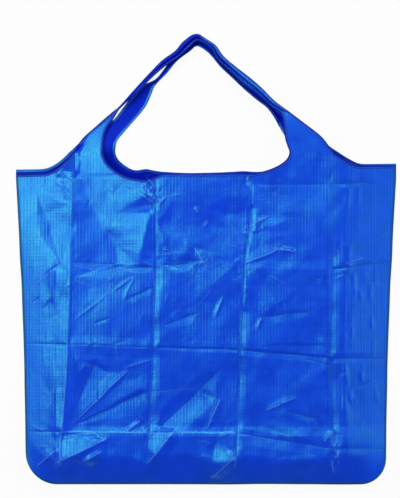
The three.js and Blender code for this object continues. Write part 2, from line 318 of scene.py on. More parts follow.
LEFT_GUSSET_FOLDS = [
    Fold((-214, 436), (-189, 474), 3.5, 6, 16, (0.2, 0.05)),
    Fold((-216, 430), (-200, 410), 1.2, 4, 4),
    Fold((-206, 424), (-196, 402), -1.0, 3, 3),
    Fold((-233, 248), (-214, 267), -1.6, 4, 4),
    Fold((-243, 283), (-197, 321), 1.0, 3, 3),
    Fold((-248, 258), (-235, 267), -1.2, 3, 3),
    Fold((-241, 26), (-207, 55), 2.6, 12, 10, (0.4, 0.4)),
]
SECOND_COLUMN_FOLDS = [
    Fold((-189, 432), (-187, 474), -5.0, 28, 10, (0.3, 0.05)),
    Fold((-189, 438), (-124, 440), -0.5, 2, 2, (0.1, 0.1)),
    Fold((-129, 384), (-74, 396), -3.4, 20, 11, (1.0, 0.05)),
    Fold((-84, 438), (-68, 416), 1.5, 2.5, 2.5),
    Fold((-82, 412), (-70, 394), -1.8, 4, 4),
    Fold((-94, 414), (-66, 396), 0.8, 2.5, 2.5),
    Fold((-133, 272), (-102, 297), 0.6, 2.4, 2.4, (0.2, 0.2)),
    Fold((-102, 297), (-116, 259), 0.8, 2.6, 2.6, (0.2, 0.2)),
    Fold((-116, 261), (-72, 283), -0.7, 2.6, 7, (0.2, 0.2)),
    Fold((-189, 232), (-135, 273), 0.35, 2.2, 2.2, (0.2, 0.2)),
    Fold((-160, 229), (-135, 238), -0.5, 2.5, 2.5),
    Fold((-120, 307), (-73, 308), -0.9, 5, 8),
    Fold((-192, 86), (-155, 178), -3.1, 14, 26, (0.9, 0.1)),
    Fold((-192, 84), (-109, 164), 2.0, 16, 5, (0.8, 0.2)),
    Fold((-116, 166), (-72, 180), 0.4, 2.2, 2.2, (0.1, 0.1)),
    Fold((-190, 84), (-80, 134), -2.6, 5, 24, (0.8, 0.1)),
    Fold((-116, 75), (-92, 94), 1.3, 4, 4),
    Fold((-92, 94), (-82, 77), -1.3, 4, 4),
    Fold((-213, 32), (-135, 70), 5.0, 24, 13, (0.1, 0.7)),
    Fold((-174, 35), (-146, 49), 1.4, 7, 12),
    Fold((-183, 45), (-183, 9), -1.5, 4, 4),
]
THIRD_COLUMN_FOLDS = [
    Fold((-70, 418), (-64, 398), 1.4, 2.5, 2.5),
    Fold((-72, 392), (-54, 412), 0.8, 2.5, 2.5),
    Fold((-62, 312), (-13, 315), -1.8, 15, 11),
    Fold((-48, 345), (-20, 318), -0.6, 2, 2, (0.2, 0.2)),
    Fold((-17, 337), (4, 305), 1.4, 9, 8),
    Fold((-16, 395), (-13, 386), 1.5, 3, 3),
    Fold((-4, 366), (3, 374), 1.0, 3, 3),
    Fold((10, 236), (23, 269), 1.1, 3, 4),
    Fold((-61, 225), (-9, 245), -0.9, 6, 10),
    Fold((-72, 134), (-11, 140), -1.0, 16, 10),
    Fold((-68, 77), (22, 166), -3.2, 18, 26, (0.2, 0.35)),
    Fold((2, 80), (20, 124), 1.5, 30, 10, (0.25, 0.3)),
    Fold((-84, 30), (-43, 80), 4.0, 22, 14, (0.3, 0.2)),
    Fold((-9, 136), (13, 123), -1.6, 5, 5),
    Fold((7, 14), (14, 66), -2.0, 12, 22, (0.2, 0.3)),
    Fold((7, 11), (46, 42), 3.7, 34, 12, (0.2, 0.2)),
]
FOURTH_COLUMN_FOLDS = [
    Fold((49, 361), (92, 385), 0.8, 2.2, 2.2, (0.2, 0.3)),
    Fold((52, 358), (83, 365), 1.0, 2.4, 3, (0.2, 0.2)),
    Fold((54, 315), (105, 336), 1.4, 12, 5),
    Fold((101, 334), (128, 330), 1.3, 6, 4),
    Fold((74, 238), (151, 246), -1.1, 6, 9),
    Fold((149, 297), (163, 292), -0.7, 4, 10),
    Fold((72, 219), (78, 239), 1.3, 3, 3),
    Fold((68, 426), (177, 427), -0.5, 2, 2.5, (0.1, 0.1)),
    Fold((175, 429), (178, 446), -0.8, 1.5, 2.5),
    Fold((151, 219), (162, 204), -1.1, 5, 4),
    Fold((80, 197), (173, 198), -0.9, 5, 14),
    Fold((136, 181), (173, 171), -1.0, 6, 18),
    Fold((82, 106), (128, 126), 1.0, 8, 5),
    Fold((112, 104), (158, 93), -1.2, 8, 6),
    Fold((82, 84), (125, 66), -1.0, 6, 18),
    Fold((165, 63), (180, 79), 1.6, 4, 4),
    Fold((181, 49), (181, 80), -2.0, 8, 14),
    Fold((176, 40), (182, 18), 1.3, 4, 4),
]
RIGHT_GUSSET_FOLDS = [
    Fold((178, 427), (240, 427), -1.3, 6, 5),
    Fold((210, 137), (236, 150), -1.1, 4, 4),
    Fold((244, 133), (251, 137), -0.9, 3, 3),
]
FACE_FOLDS = (
    LEFT_GUSSET_FOLDS + SECOND_COLUMN_FOLDS + THIRD_COLUMN_FOLDS + FOURTH_COLUMN_FOLDS + RIGHT_GUSSET_FOLDS
)
SOFT_FOLDS = [  # these leave no line in the cloth
    Fold((-205, 314), (-238, 416), -5.0, 16, 38, (0.4, 0.3)),
    Fold((-212, 240), (-212, 326), 3.0, 16, 22, (0.8, 0.3)),
    Fold((-213, 66), (-209, 150), 2.2, 14, 24, (0.2, 0.8)),
    Fold((-98, 312), (-75, 398), 1.7, 30, 20, (0.2, 0.2)),
    Fold((-164, 26), (-160, 76), 4.4, 44, 22, (0.2, 0.2)),
    Fold((-68, 374), (120, 357), -2.8, 30, 42, (0.1, 0.5)),
    Fold((0, 388), (140, 378), -2.2, 24, 20, (0.2, 0.6)),
    Fold((-70, 367), (-11, 315), 1.4, 20, 16),
    Fold((-18, 261), (43, 313), 2.8, 30, 34, (0.4, 0.25)),
    Fold((50, 427), (264, 427), -1.8, 36, 44, (0.1, 0.4)),
    Fold((87, 99), (176, 53), -1.0, 16, 18),
    Fold((72, 238), (131, 279), 1.0, 26, 8),
    Fold((80, 30), (176, 34), 1.6, 12, 16),
]


Patch = namedtuple("Patch", "start end spread count height")

CRUMPLED = [
    Patch((-214, 432), (-194, 404), 5, 7, 0.7),
    Patch((-84, 436), (-66, 396), 5, 9, 0.8),
    Patch((-64, 322), (12, 312), 6, 9, 0.6),
    Patch((55, 446), (64, 424), 3, 8, 0.8),
    Patch((206, 317), (262, 314), 4, 8, 0.8),
    Patch((178, 66), (184, 26), 5, 9, 0.9),
]
PINCHES = [(-75, 410), (-10, 325), (57, 365), (55, 312), (180, 60), (-85, 85), (-200, 420), (30, 55)]
PINCH_SPREAD = 15.0
SCATTERED = 150  # crumples all over the face
PINCHED = 80  # and crumples about the pinches
CRUMPLE_AREA = ((-255, 25), (255, 428))
CRUMPLE_TAPER = (0.45, 0.45)
HEADING_SPREAD = 0.4
UNEVEN = np.array((0.5, 1.2))  # least and most of a height that is given for many folds


def crumple(rng, place, angle, halves, heights, runs):
    """A small ridge or valley, with its half length, height and runs drawn between these limits."""
    half = rng.uniform(*halves) * np.array([math.cos(angle), math.sin(angle)])
    height = rng.uniform(*heights) * rng.choice([-1, 1])
    return Fold(place - half, place + half, height, *rng.uniform(*runs, 2), CRUMPLE_TAPER)


def small_folds():
    """Fine crumples all over the face, thicker where the cloth is pinched."""
    rng = np.random.default_rng(41)
    folds = []
    for k in range(SCATTERED + PINCHED):
        if k < SCATTERED:
            place = rng.uniform(*CRUMPLE_AREA)
        else:
            place = np.array(PINCHES[k % len(PINCHES)]) + rng.normal(0, PINCH_SPREAD, 2)
        angle = rng.uniform(0, math.pi)
        folds.append(crumple(rng, place, angle, halves=(4, 17), heights=(0.1, 0.42), runs=(2.2, 5.5)))
    for patch in CRUMPLED:
        start, end = np.array(patch.start, float), np.array(patch.end, float)
        heading = math.atan2(*(end - start)[::-1])
        heights = patch.height * UNEVEN
        for _ in range(patch.count):
            place = lerp(start, end, rng.uniform(0, 1)) + rng.normal(0, patch.spread, 2)
            angle = heading + rng.normal(0, HEADING_SPREAD)
            folds.append(crumple(rng, place, angle, halves=(4, 12), heights=heights, runs=(2.5, 6)))
    return folds


Streaks = namedtuple("Streaks", "low high count height")

GUSSET_STREAKS = [
    Streaks((192, 70), (255, 400), 18, 1.3),
    Streaks((-250, 90), (-205, 400), 24, 0.5),
]
STREAK_LEAN = (-4, 4)
STREAK_LENGTH = (18, 50)
STREAK_RUN = (2.5, 5)


def streaks():
    """Long shallow upright folds in the two gussets."""
    rng = np.random.default_rng(42)
    folds = []
    for group in GUSSET_STREAKS:
        for _ in range(group.count):
            x, y = rng.uniform(group.low, group.high)
            top = (x + rng.uniform(*STREAK_LEAN), y + rng.uniform(*STREAK_LENGTH))
            height = group.height * rng.uniform(*UNEVEN)
            folds.append(Fold((x, y), top, height, *rng.uniform(*STREAK_RUN, 2)))
    return folds


def beside_fold(fold, x, y):
    """Points near a fold, how far each is to its left, and the fold's share of its full height there."""
    start, end = np.array(fold.start, float), np.array(fold.end, float)
    length = np.hypot(*(end - start))
    along = (end - start) / length
    reach = max(fold.left, fold.right)
    low, high = np.minimum(start, end) - reach, np.maximum(start, end) + reach
    near = (x > low[0]) & (x < high[0]) & (y > low[1]) & (y < high[1])
    dx, dy = x[near] - start[0], y[near] - start[1]
    share = (dx * along[0] + dy * along[1]) / length
    to_left = dy * along[0] - dx * along[1]
    return near, to_left, np.minimum(np.minimum(share / fold.taper[0], (1 - share) / fold.taper[1]), 1)


def fold_heights(folds, x, y):
    total = np.zeros_like(x)
    for fold in folds:
        near, to_left, ends = beside_fold(fold, x, y)
        run = np.where(to_left > 0, fold.left, fold.right)
        total[near] += fold.height * np.maximum(0, ends - np.abs(to_left) / run)
    return total


def slack_places(x, y):
    """Places moved a little, so that folds aren't ruled straight."""
    return (
        x + FOLD_WANDER * drift(x, y, FOLD_WANDER_CELL, seed=11),
        y + FOLD_WANDER * drift(x, y, FOLD_WANDER_CELL, seed=12),
    )


# Level creases: the column that each stretch crosses, its height, and its run above and below.

LevelFold = namedtuple("LevelFold", "level column height above below")

LEVEL_FOLDS = [
    LevelFold(0, 0, -0.6, 3, 3),
    LevelFold(0, 1, 0.5, 2, 4),
    LevelFold(0, 2, 0.5, 2.2, 9),
    LevelFold(0, 3, -1.6, 8, 14),
    LevelFold(0, 4, -1.2, 8, 6),
    LevelFold(1, 0, -0.7, 3, 3),
    LevelFold(1, 1, 1.3, 12, 15),
    LevelFold(1, 1, -0.4, 2.2, 2.2),
    LevelFold(1, 2, -0.7, 3, 4),
    LevelFold(1, 3, -1.3, 4, 8),
    LevelFold(1, 4, -1.3, 8, 6),
    LevelFold(2, 1, -0.4, 2.5, 10),
    LevelFold(2, 3, 1.2, 12, 24),
    LevelFold(2, 4, -0.9, 4, 4),
]


def level_relief(y, column):
    relief = np.zeros_like(y)
    for fold in LEVEL_FOLDS:
        away = y - level_y(fold.level, column)
        run = np.where(away > 0, fold.above, fold.below)
        into = column - fold.column
        ends = smooth(into / LEVEL_EASE) * smooth((1 - into) / LEVEL_EASE)
        relief += fold.height * ends * np.maximum(0, 1 - np.abs(away) / run)
    return relief


def seam_shade(x, y):
    """Painted shade along the side and bottom seams: one there, falling to nothing inside them."""
    return np.clip(2 - np.minimum(side_x(y) - np.abs(x), y - bottom_y(x)) / SEAM_RUN, 0, 1)


def pressed_lines(x, y):
    """How far each point is from the nearest line pressed into the cloth, below zero on its left, and how
    hard that line is pressed: below zero in a valley."""
    column = column_at(x, y)
    lines = []
    for index, guides in enumerate(UPRIGHT_PRESS):
        press = read_guides(guides, y) * ease(y, *PRESS_FADE)
        lines.append((np.ones(x.shape, bool), crease_x(index, y) - x, press))
    for fold in LEVEL_FOLDS:
        here = (column > fold.column) & (column < fold.column + 1)
        press = LEVEL_PRESS * np.sign(fold.height) * (min(fold.above, fold.below) < SHARP_RUN)
        lines.append((here, (y - level_y(fold.level, column))[here], np.full(here.sum(), press)))
    moved = slack_places(x, y)
    for fold in FACE_FOLDS + SMALL_FOLDS:
        near, to_left, ends = beside_fold(fold, *moved)
        press = np.clip(fold.height / FULL_PRESS, -1, 1) * np.clip(LINE_ENDS * ends, 0, 1)
        lines.append((near, to_left, press))
    away = np.full(x.shape, LINE_REACH)
    pressed = np.zeros(x.shape)
    for near, to_left, press in lines:
        closer = (np.abs(to_left) < np.abs(away[near])) & (press != 0)
        away[near] = np.where(closer, -to_left, away[near])
        pressed[near] = np.where(closer, press, pressed[near])
    return away, pressed


# Right of the left crease, upright creases are valleys: how steeply the cloth falls to one from the left,
# and how steeply it rises from it on the right and its depth, both at heights above the bottom edge.

Crease = namedtuple("Crease", "index fall rises depths")

UPRIGHT_CREASES = [
    Crease(1, 0.22, [(0, 0.17)],
           [(0, 1.2), (75, 1.5), (184, 1.4), (196, 0.5), (206, 1.0), (290, 1.2), (306, 1.2), (318, 0.4),
            (388, 0.4), (405, 1.0), (420, 0.5)]),
    Crease(2, 0.25, [(248, 0.13), (256, 0.26)],
           [(0, 0.7), (60, 0.6), (75, 0.8), (180, 0.9), (184, 0.5), (192, 0.9), (245, 1.1), (254, 0.3),
            (268, 0.5), (284, 0.9), (296, 0.5), (303, 0.1), (318, 0.15), (326, 0.8), (352, 0.9), (366, 1.5),
            (392, 1.5), (397, 0.4), (406, 0.3), (422, 0.7), (430, 0.3), (440, 0.2)]),
    Crease(3, 0.25, [(0, 0.13)],
           [(0, 0.8), (60, 1.0), (176, 1.2), (182, 0.6), (192, 1.1), (300, 1.3), (335, 1.1), (350, 0.15),
            (440, 0.1)]),
]

SMALL_FOLDS = small_folds()
STREAK_FOLDS = streaks()


def crease_depth(x, y):
    depth = np.zeros_like(x)
    for crease in UPRIGHT_CREASES:
        away = x - crease_x(crease.index, y)
        uneven = 1 + CREASE_UNEVEN * drift(y, y * 0, cell=18, seed=70 + crease.index)
        middle = read_guides(crease.depths, y) * uneven
        before = np.maximum(0, 1 + away * crease.fall / middle)
        rise = read_guides(crease.rises, y) / STRIP_CURVE
        after = np.maximum(0, 1 - away * rise / middle) ** STRIP_CURVE
        groove = GROOVE_DEPTH * np.minimum(middle, 1)
        cut = groove * np.maximum(0, 1 + away / GROOVE_RUN)
        depth = np.maximum(depth, np.where(away < 0, middle * before + cut, (middle + groove) * after))
    return depth


# Upper left of the face: the cloth falls to the left from a crest to a foot line, then runs on to the low
# ridge of the left crease. Each is given by heights above the bottom edge and the places or depths there.

SLOPE_CREST = [(300, -96), (330, -92), (395, -78), (430, -82), (470, -90)]
SLOPE_FOOT = [(294, -190), (314, -124), (338, -127), (352, -134), (366, -148), (386, -155), (400, -168),
              (416, -177), (434, -186), (470, -186)]
SLOPE_DEPTH = [(170, 0), (290, 4.5), (316, 7), (360, 9.5), (400, 12.5), (434, 17.5), (470, 23)]


def seam_lift(x, y):
    """Height of the side and bottom seams, on the left lower at the mouth and higher at the bottom."""
    on_left = smooth(-x / LEFT_REACH)
    low = LEFT_SEAM_RISE * smooth(1 - y / LEFT_SEAM_RUN) * on_left
    bottom = BOTTOM_SEAM_RISE * smooth(1 - y / BOTTOM_SEAM_RUN)
    return SEAM_LIFT + np.maximum(low, bottom) - LEFT_SEAM_DROP * ease(y, *LEFT_FALL) * on_left


def front_height(x, y):
    """Height of the front cloth above the floor: side gussets, face, creases and folds."""
    x, y = np.asarray(x, float), np.asarray(y, float)
    wx, wy = slack_places(x, y)
    left, right, side = crease_x(0, y), crease_x(3, y), side_x(y)
    from_left = np.clip((x + side) / (left + side), 0, 1)
    from_right = np.clip((side - x) / (side - right - RIGHT_CREST), 0, 1)
    foot = np.maximum(read_guides(SLOPE_FOOT, y), left)
    on_slope = np.clip((x - foot) / (read_guides(SLOPE_CREST, y) - foot), 0, 1)
    sunk = read_guides(SLOPE_DEPTH, y) * (1 - on_slope)
    up = np.clip((y - bottom_y(x)) / read_guides(BOTTOM_ROLLS, x), 0, 1)
    roll = 1 - (1 - up) ** ROLL_POWER
    lift = lerp(FACE_LIFT, LIP_LIFT, ease(y, MOUTH_HEIGHT - LIP_RUN, MOUTH_HEIGHT))
    slack = fold_heights(FACE_FOLDS + SOFT_FOLDS + SMALL_FOLDS + STREAK_FOLDS, wx, wy)
    slack += waves(x, y, FACE_WAVES)
    slack += level_relief(y, column_at(x, y))
    in_gusset = smooth(np.maximum(left - x, x - right) / GUSSET_EASE)
    ripple = lerp(FACE_RIPPLE, GUSSET_RIPPLE, in_gusset)
    slack += ripple * drift(RIPPLE_NARROWING * x, y, RIPPLE_CELL, seed=24)
    ridge = read_guides(RIDGE_DROP, y) * smooth((x - left) / read_guides(RIDGE_RUN, y))
    ridge += GROOVE_DEPTH * smooth((x - left) / GROOVE_RUN)
    relief = crease_depth(x, y) + ridge - slack
    seam = seam_lift(x, y) + CLOTH
    bent = lerp(from_left, 1 - (1 - from_left) ** 2, GUSSET_BEND)
    return seam + ((lift - seam - sunk) * bent - relief * from_left) * from_right * roll


def back_height(x, y):
    """Height of the back cloth: flat on the floor, with low ripples, and curled up to the seams."""
    x, y = np.asarray(x, float), np.asarray(y, float)
    inset = np.minimum(side_x(y) - np.abs(x), y - bottom_y(x))
    curl = np.clip(1 - inset / BACK_CURL, 0, 1) ** 2
    lying = lerp(BACK_LIFT + waves(x, y, BACK_WAVES), seam_lift(x, y) - CLOTH, curl)
    below_lip = top_edge(BACK, column_at(x, y)) - y
    at_lip = np.clip(1 - below_lip / BACK_LIP_RUN, 0, 1) ** BACK_LIP_POWER
    lip = BACK_LIP_LIFT * at_lip * ease(inset, *BACK_LIP_INSET)
    return np.minimum(lying + lip, front_height(x, y) - PANEL_GAP)


# The two panels. A pair of values is for the left and the right. Rise and lip lift the side tops and the
# mouth's edge, and pinch pulls the mouth's edge up at places across. The straps' bases lap on to the
# gussets. From its base a strap keeps its height for its hold, sinks over its drop to the bundle's height
# and takes up its tilt. It is gathered from the distance that gathers gives. Curl turns up the left
# strap's inner edge. The route has the straps' outer and inner edges, from the left base over the top to
# the right base.

Panel = namedtuple(
    "Panel",
    "name seed step height rise lip pinch left_strap right_strap "
    "laps gathers holds drops tilts curl bundle route")

FRONT = Panel(
    name="front",
    seed=5,
    step=1.85,
    height=front_height,
    rise=(0.0, 13.0),
    lip=(0.0, 9.0),
    left_strap=44.0,
    right_strap=64.0,
    laps=(0.0, 1.0),
    gathers=(66, 58),
    holds=(36, 50),
    drops=(120, 140),
    tilts=(0.30, 0.0),
    curl=0.0,
    pinch=[(0, 0)],
    bundle=8.2,
    route=[
        ((-175, 491), (-145, 489)),
        ((-155, 509), (-141, 505)),
        ((-139, 523), (-133, 517)),
        ((-127, 533), (-125, 530)),
        ((-102, 560), (-98, 556)),
        ((-78, 586), (-73, 581)),
        ((-61, 603), (-55, 596)),
        ((-43, 616), (-37, 608)),
        ((-31, 630), (-22, 622)),
        ((-13, 640), (-12, 630)),
        ((1, 632), (-3, 626)),
        ((13, 624), (7, 619)),
        ((23, 610), (14, 606)),
        ((42, 593), (33, 587)),
        ((61, 578), (53, 568)),
        ((78, 563), (71, 555)),
        ((99, 542), (94, 534)),
        ((118, 528), (106, 526)),
        ((139, 512), (110, 507)),
        ((164, 492), (113, 488)),
    ],
)
BACK = Panel(
    name="back",
    seed=4,
    step=3.0,
    height=back_height,
    rise=(6.5, 15.0),
    lip=(9.0, 11.5),
    left_strap=61.0,
    right_strap=51.0,
    laps=(5.5, 10.0),
    gathers=(120, 40),
    holds=(0, 0),
    drops=(95, 95),
    tilts=(-0.1, 0.0),
    curl=1.4,
    pinch=[(-128, 0), (-104, -3), (-85, 6), (-64, 0), (-20, -2.5), (30, 0)],
    bundle=2.0,
    route=[
        ((-173, 491), (-127, 487)),
        ((-151, 508), (-118, 499)),
        ((-134, 515), (-106, 513)),
        ((-121, 530), (-93, 528)),
        ((-113, 541), (-85, 539)),
        ((-103, 553), (-79, 552)),
        ((-90, 567), (-74, 565)),
        ((-72, 575), (-67, 573)),
        ((-60, 589), (-55, 585)),
        ((-48, 606), (-42, 601)),
        ((-28, 626), (-21, 617)),
        ((-13, 633), (-14, 623)),
        ((2, 626), (-4, 619)),
        ((12, 616), (6, 611)),
        ((26, 600), (20, 594)),
        ((43, 584), (37, 578)),
        ((61, 569), (55, 561)),
        ((80, 552), (74, 545)),
        ((97, 537), (87, 535)),
        ((111, 525), (96, 523)),
        ((133, 509), (104, 509)),
        ((159, 491), (115, 491)),
    ],
)


def strap_columns(panel):
    """Columns of the strap bases' edges: left outer, left inner, right inner, right outer."""
    left_gusset = side_x(STRAP_LINE) + crease_x(0, STRAP_LINE)
    right_gusset = side_x(STRAP_LINE) - crease_x(3, STRAP_LINE)
    return (
        1 - panel.laps[0] / left_gusset,
        1 + panel.left_strap / FOLD_PITCH,
        4 - panel.right_strap / FOLD_PITCH,
        4 + panel.laps[1] / right_gusset,
    )


def top_edge(panel, column):
    """Height of the body's top edge: side seam, shoulder curve, strap line, mouth curve and mouth."""
    left_outer, left_inner, right_inner, right_outer = strap_columns(panel)
    x = column_x(column, SIDE_HEIGHT)
    rise = lerp(*panel.rise, x / MOUTH_WIDTH + 0.5)
    side_top = SIDE_HEIGHT + HEM + rise
    wander = EDGE_WANDER * drift(x, side_top * 0, cell=15, seed=81 + panel.seed)
    lip = lerp(*panel.lip, ease(x, *LIP_STEP)) + read_guides(panel.pinch, x)
    mouth_top = MOUTH_HEIGHT + HEM + lip + wander
    from_side = (column / left_outer, (LAST_COLUMN - column) / (LAST_COLUMN - right_outer))
    up_left, up_right = (
        np.clip((share - start) / (1 - start), 0, 1) ** power
        for share, start, power in zip(from_side, SHOULDER_STARTS, SHOULDER_POWERS))
    shoulder = lerp(side_top, STRAP_LINE, np.where(column < LAST_COLUMN / 2, up_left, up_right))
    from_strap = np.minimum(column - left_inner, right_inner - column) * FOLD_PITCH
    bend = np.clip(1 - from_strap / MOUTH_CORNER_RUN, 0, 1) ** MOUTH_CORNER_POWER
    mouth = lerp(STRAP_LINE, mouth_top, (1 - bend) ** (1 / MOUTH_CORNER_POWER))
    return np.where(from_strap > 0, mouth, shoulder)


def span(start, end, length, step, power=1.0):
    """Places from start up to end, without end, for a run of this length: an even number of them."""
    count = 2 * max(1, round(length / step / 2))
    t = np.arange(count) / count
    t = t - CLOSER * np.sin(2 * np.pi * t) / (2 * np.pi)
    return lerp(start, end, t ** power)


def body_columns(panel):
    left_outer, left_inner, right_inner, right_outer = strap_columns(panel)
    strap = np.arange(STRAP_CELLS) / STRAP_CELLS
    step = panel.step
    right_gusset = span(0, LAST_COLUMN - right_outer, GUSSET, step, SIDE_POWER)
    return np.concatenate([
        span(0, left_outer, GUSSET, step, SIDE_POWER),
        lerp(left_outer, left_inner, strap),
        span(left_inner, 2, (2 - left_inner) * FOLD_PITCH, step),
        span(2, 3, FOLD_PITCH, step),
        span(3, right_inner, (right_inner - 3) * FOLD_PITCH, step),
        lerp(right_inner, right_outer, strap),
        [right_outer],
        LAST_COLUMN - right_gusset[::-1],
    ])


def body_places(panel, columns):
    """Plan places of the body's cloth, in rows from the bottom edge to the top edge."""
    shares = np.concatenate([
        span(-1, 0, LEVEL_CREASES[0][0], panel.step, BOTTOM_POWER),
        span(0, 1, FOLD_PITCH, panel.step),
        span(1, 2, FOLD_PITCH, panel.step),
        span(2, 3, FOLD_PITCH, panel.step),
        [3.0],
    ])
    foot = bottom_y(column_x(columns, 0.0))
    top = top_edge(panel, columns)
    rows = []
    for share in shares:
        level = np.clip(share, 0, 2)
        y = level_y(level, columns)
        if share < 0:
            y = lerp(foot, y, share + 1)
        if share > 2:
            y = lerp(y, top, share - 2)
        rows.append(np.stack([column_x(columns, y), y], axis=1))
    return np.array(rows)


# Straps

def flow(knots, values, places):
    """Smooth curve through the values at the knots, read at the places."""
    slopes = np.gradient(values, knots, axis=0)
    i = np.clip(np.searchsorted(knots, places) - 1, 0, len(knots) - 2)
    gap = (knots[i + 1] - knots[i])[:, None]
    t = (places - knots[i])[:, None] / gap
    stay = (1 + 2 * t) * (1 - t) ** 2 * values[i] + t * t * (3 - 2 * t) * values[i + 1]
    turn = t * (1 - t) ** 2 * slopes[i] - t * t * (1 - t) * slopes[i + 1]
    return stay + turn * gap


def gathers(widths, cloth_widths):
    """Across and up, as shares of the visible and the cloth width, for a strap's waves at each row."""
    swing_count, bend_count, fine = 240, 181, 8
    swings = np.linspace(0, MOST_SWING, swing_count)
    bends = np.sin(np.linspace(0, math.pi, bend_count))
    narrowed = np.cos(swings[:, None] * bends).mean(axis=1)
    swing = np.interp(-widths / cloth_widths, -narrowed, swings)
    a = np.linspace(0, 1, STRAP_CELLS * fine + 1)
    turn = swing[:, None] * np.sin(2 * math.pi * STRAP_FOLDS * a)
    steps = np.diff(a)

    def summed(slope):
        parts = (slope[:, 1:] + slope[:, :-1]) / 2 * steps
        return np.concatenate([np.zeros((len(slope), 1)), np.cumsum(parts, axis=1)], axis=1)[:, ::fine]

    across = summed(np.cos(turn))
    return across / across[:, -1:], summed(np.sin(turn))


def strap_points(panel, left_base, right_base, left_slope, right_slope):
    """Rows of the handle between its two bases, each from the outer edge to the inner edge. It leaves each
    base at the slope that the body's cloth has there."""
    outer = np.array([left_base[0, :2], *[edge[0] for edge in panel.route], right_base[0, :2]])
    inner = np.array([left_base[-1, :2], *[edge[1] for edge in panel.route], right_base[-1, :2]])
    middle = (outer + inner) / 2
    knots = run_along(middle)
    length = knots[-1]
    places = np.linspace(0, length, 2 * round(length / panel.step / 2) + 1)[1:-1]
    outer, inner = flow(knots, outer, places), flow(knots, inner, places)
    widths = np.hypot(*(inner - outer).T)
    gathered = np.minimum.reduce([
        smooth((away - start) / STRAP_EASE)
        for away, start in zip((places, length - places), panel.gathers)])
    cloth_widths = np.maximum(widths, STRAP_CLOTH * gathered)
    across, up = gathers(widths, cloth_widths)
    fullness = 1 + STRAP_UNEVEN * drift(places, places * 0, STRAP_UNEVEN_CELL, seed=51 + panel.seed)
    share = np.linspace(0, 1, STRAP_CELLS + 1)
    rest = np.full((len(places), 1), panel.bundle)
    bases = zip((left_base, right_base), (left_slope, right_slope), (places, length - places))
    for end, (base, slope, away) in enumerate(bases):
        across_base = np.hypot(*(base[-1, :2] - base[0, :2]))
        lean, middle = np.polyfit((share - 0.5) * across_base, base[:, 2], 1)
        sunk = smooth((away - panel.holds[end]) / panel.drops[end])[:, None]
        leaning = lerp(lean, panel.tilts[end], sunk) * widths[:, None] * (share - 0.5)
        settled = (middle - panel.bundle) * (1 - sunk) + leaning * (away < length / 2)[:, None]
        onward = base[:, 2] - panel.bundle + slope * away[:, None]
        rest = rest + lerp(onward, settled, smooth(away / STRAP_EASE)[:, None])
    curled = smooth(places / STRAP_EASE) * (1 - gathered) * (places < length / 2)
    turned_up = np.clip((share - CURL_START) / (1 - CURL_START), 0, 1) ** 2
    rest = rest + panel.curl * curled[:, None] * turned_up
    points = np.empty((len(places), STRAP_CELLS + 1, 3))
    points[..., :2] = outer[:, None] + (inner - outer)[:, None] * across[..., None]
    points[..., 2] = rest + up * (cloth_widths * fullness)[:, None]
    rising = (places < length / 2)[:, None]
    along = np.where(rising, places[:, None], length - places[:, None])
    over = share * cloth_widths[:, None]
    flat = np.stack(np.broadcast_arrays(
        np.where(rising, left_base[0, 0] + over, right_base[0, 0] - over),
        STRAP_LINE + along,
    ), axis=-1)
    return points, flat, np.repeat(gathered[:, None], STRAP_CELLS + 1, axis=1)


# Meshes

def grid_faces(index):
    """Four-sided faces of a grid of point numbers."""
    a, b = index[:-1, :-1].ravel(), index[:-1, 1:].ravel()
    c, d = index[1:, 1:].ravel(), index[1:, :-1].ravel()
    return np.stack([a, b, c, d], axis=1)


def point_normals(points, faces):
    corner = points[faces]
    normals = np.cross(corner[:, 2] - corner[:, 0], corner[:, 3] - corner[:, 1])
    total = np.zeros_like(points)
    for k in range(4):
        np.add.at(total, faces[:, k], normals)
    return unit(total)


def open_edges(faces):
    """Edges that only one face has, as starts and ends in that face's order."""
    edges = np.concatenate([faces[:, [k, (k + 1) % 4]] for k in range(4)])
    most = faces.max() + 1
    inner = np.isin(edges[:, 0] * most + edges[:, 1], edges[:, 1] * most + edges[:, 0])
    return edges[~inner]


def thicken(points, faces, coarse_faces, half):
    """Closed cloth: fine above, with half as many rows and columns below, and a rim round every edge."""
    normals = point_normals(points, faces)
    kept = np.unique(coarse_faces)
    under = np.full(len(points), -1)
    under[kept] = len(points) + np.arange(len(kept))
    rims = open_edges(coarse_faces)
    depth = np.full(len(points), half + UNDER_SAG)
    depth[rims.ravel()] = half
    below = points[kept] - normals[kept] * depth[kept, None]
    onward = dict(open_edges(faces).tolist())
    solid = faces.tolist() + under[coarse_faces[:, ::-1]].tolist()
    for start, end in rims.tolist():
        solid.append([end, onward[start], start, int(under[start]), int(under[end])])
    return np.concatenate([points + normals * half, below]), solid, kept


def make_piece(name, points, faces, materials, slot, finish=None, **marks):
    """A mesh in the shared frame. Finish gives each face's place in the materials, and marks are values at
    the points that the materials read."""
    mesh = bpy.data.meshes.new(name)
    placed = (points - (0, FULL_HEIGHT / 2, 0)) / METRE
    mesh.from_pydata(placed.tolist(), [], faces)
    mesh.polygons.foreach_set("use_smooth", np.ones(len(mesh.polygons), bool))
    for mark, values in marks.items():
        values = np.ascontiguousarray(values, dtype=np.float32)
        kind, key = ("FLOAT", "value") if values.ndim == 1 else ("FLOAT_VECTOR", "vector")
        mesh.attributes.new(mark, kind, "POINT").data.foreach_set(key, values.ravel())
    for material in materials:
        mesh.materials.append(material)
    if finish is not None:
        mesh.polygons.foreach_set("material_index", np.asarray(finish, dtype=np.int32))
    mesh.validate()
    piece = bpy.data.objects.new(name, mesh)
    bpy.context.scene.collection.objects.link(piece)
    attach(piece, "root")
    return piece


Cloth = namedtuple("Cloth", "panel columns body strap points faces coarse_faces marks")


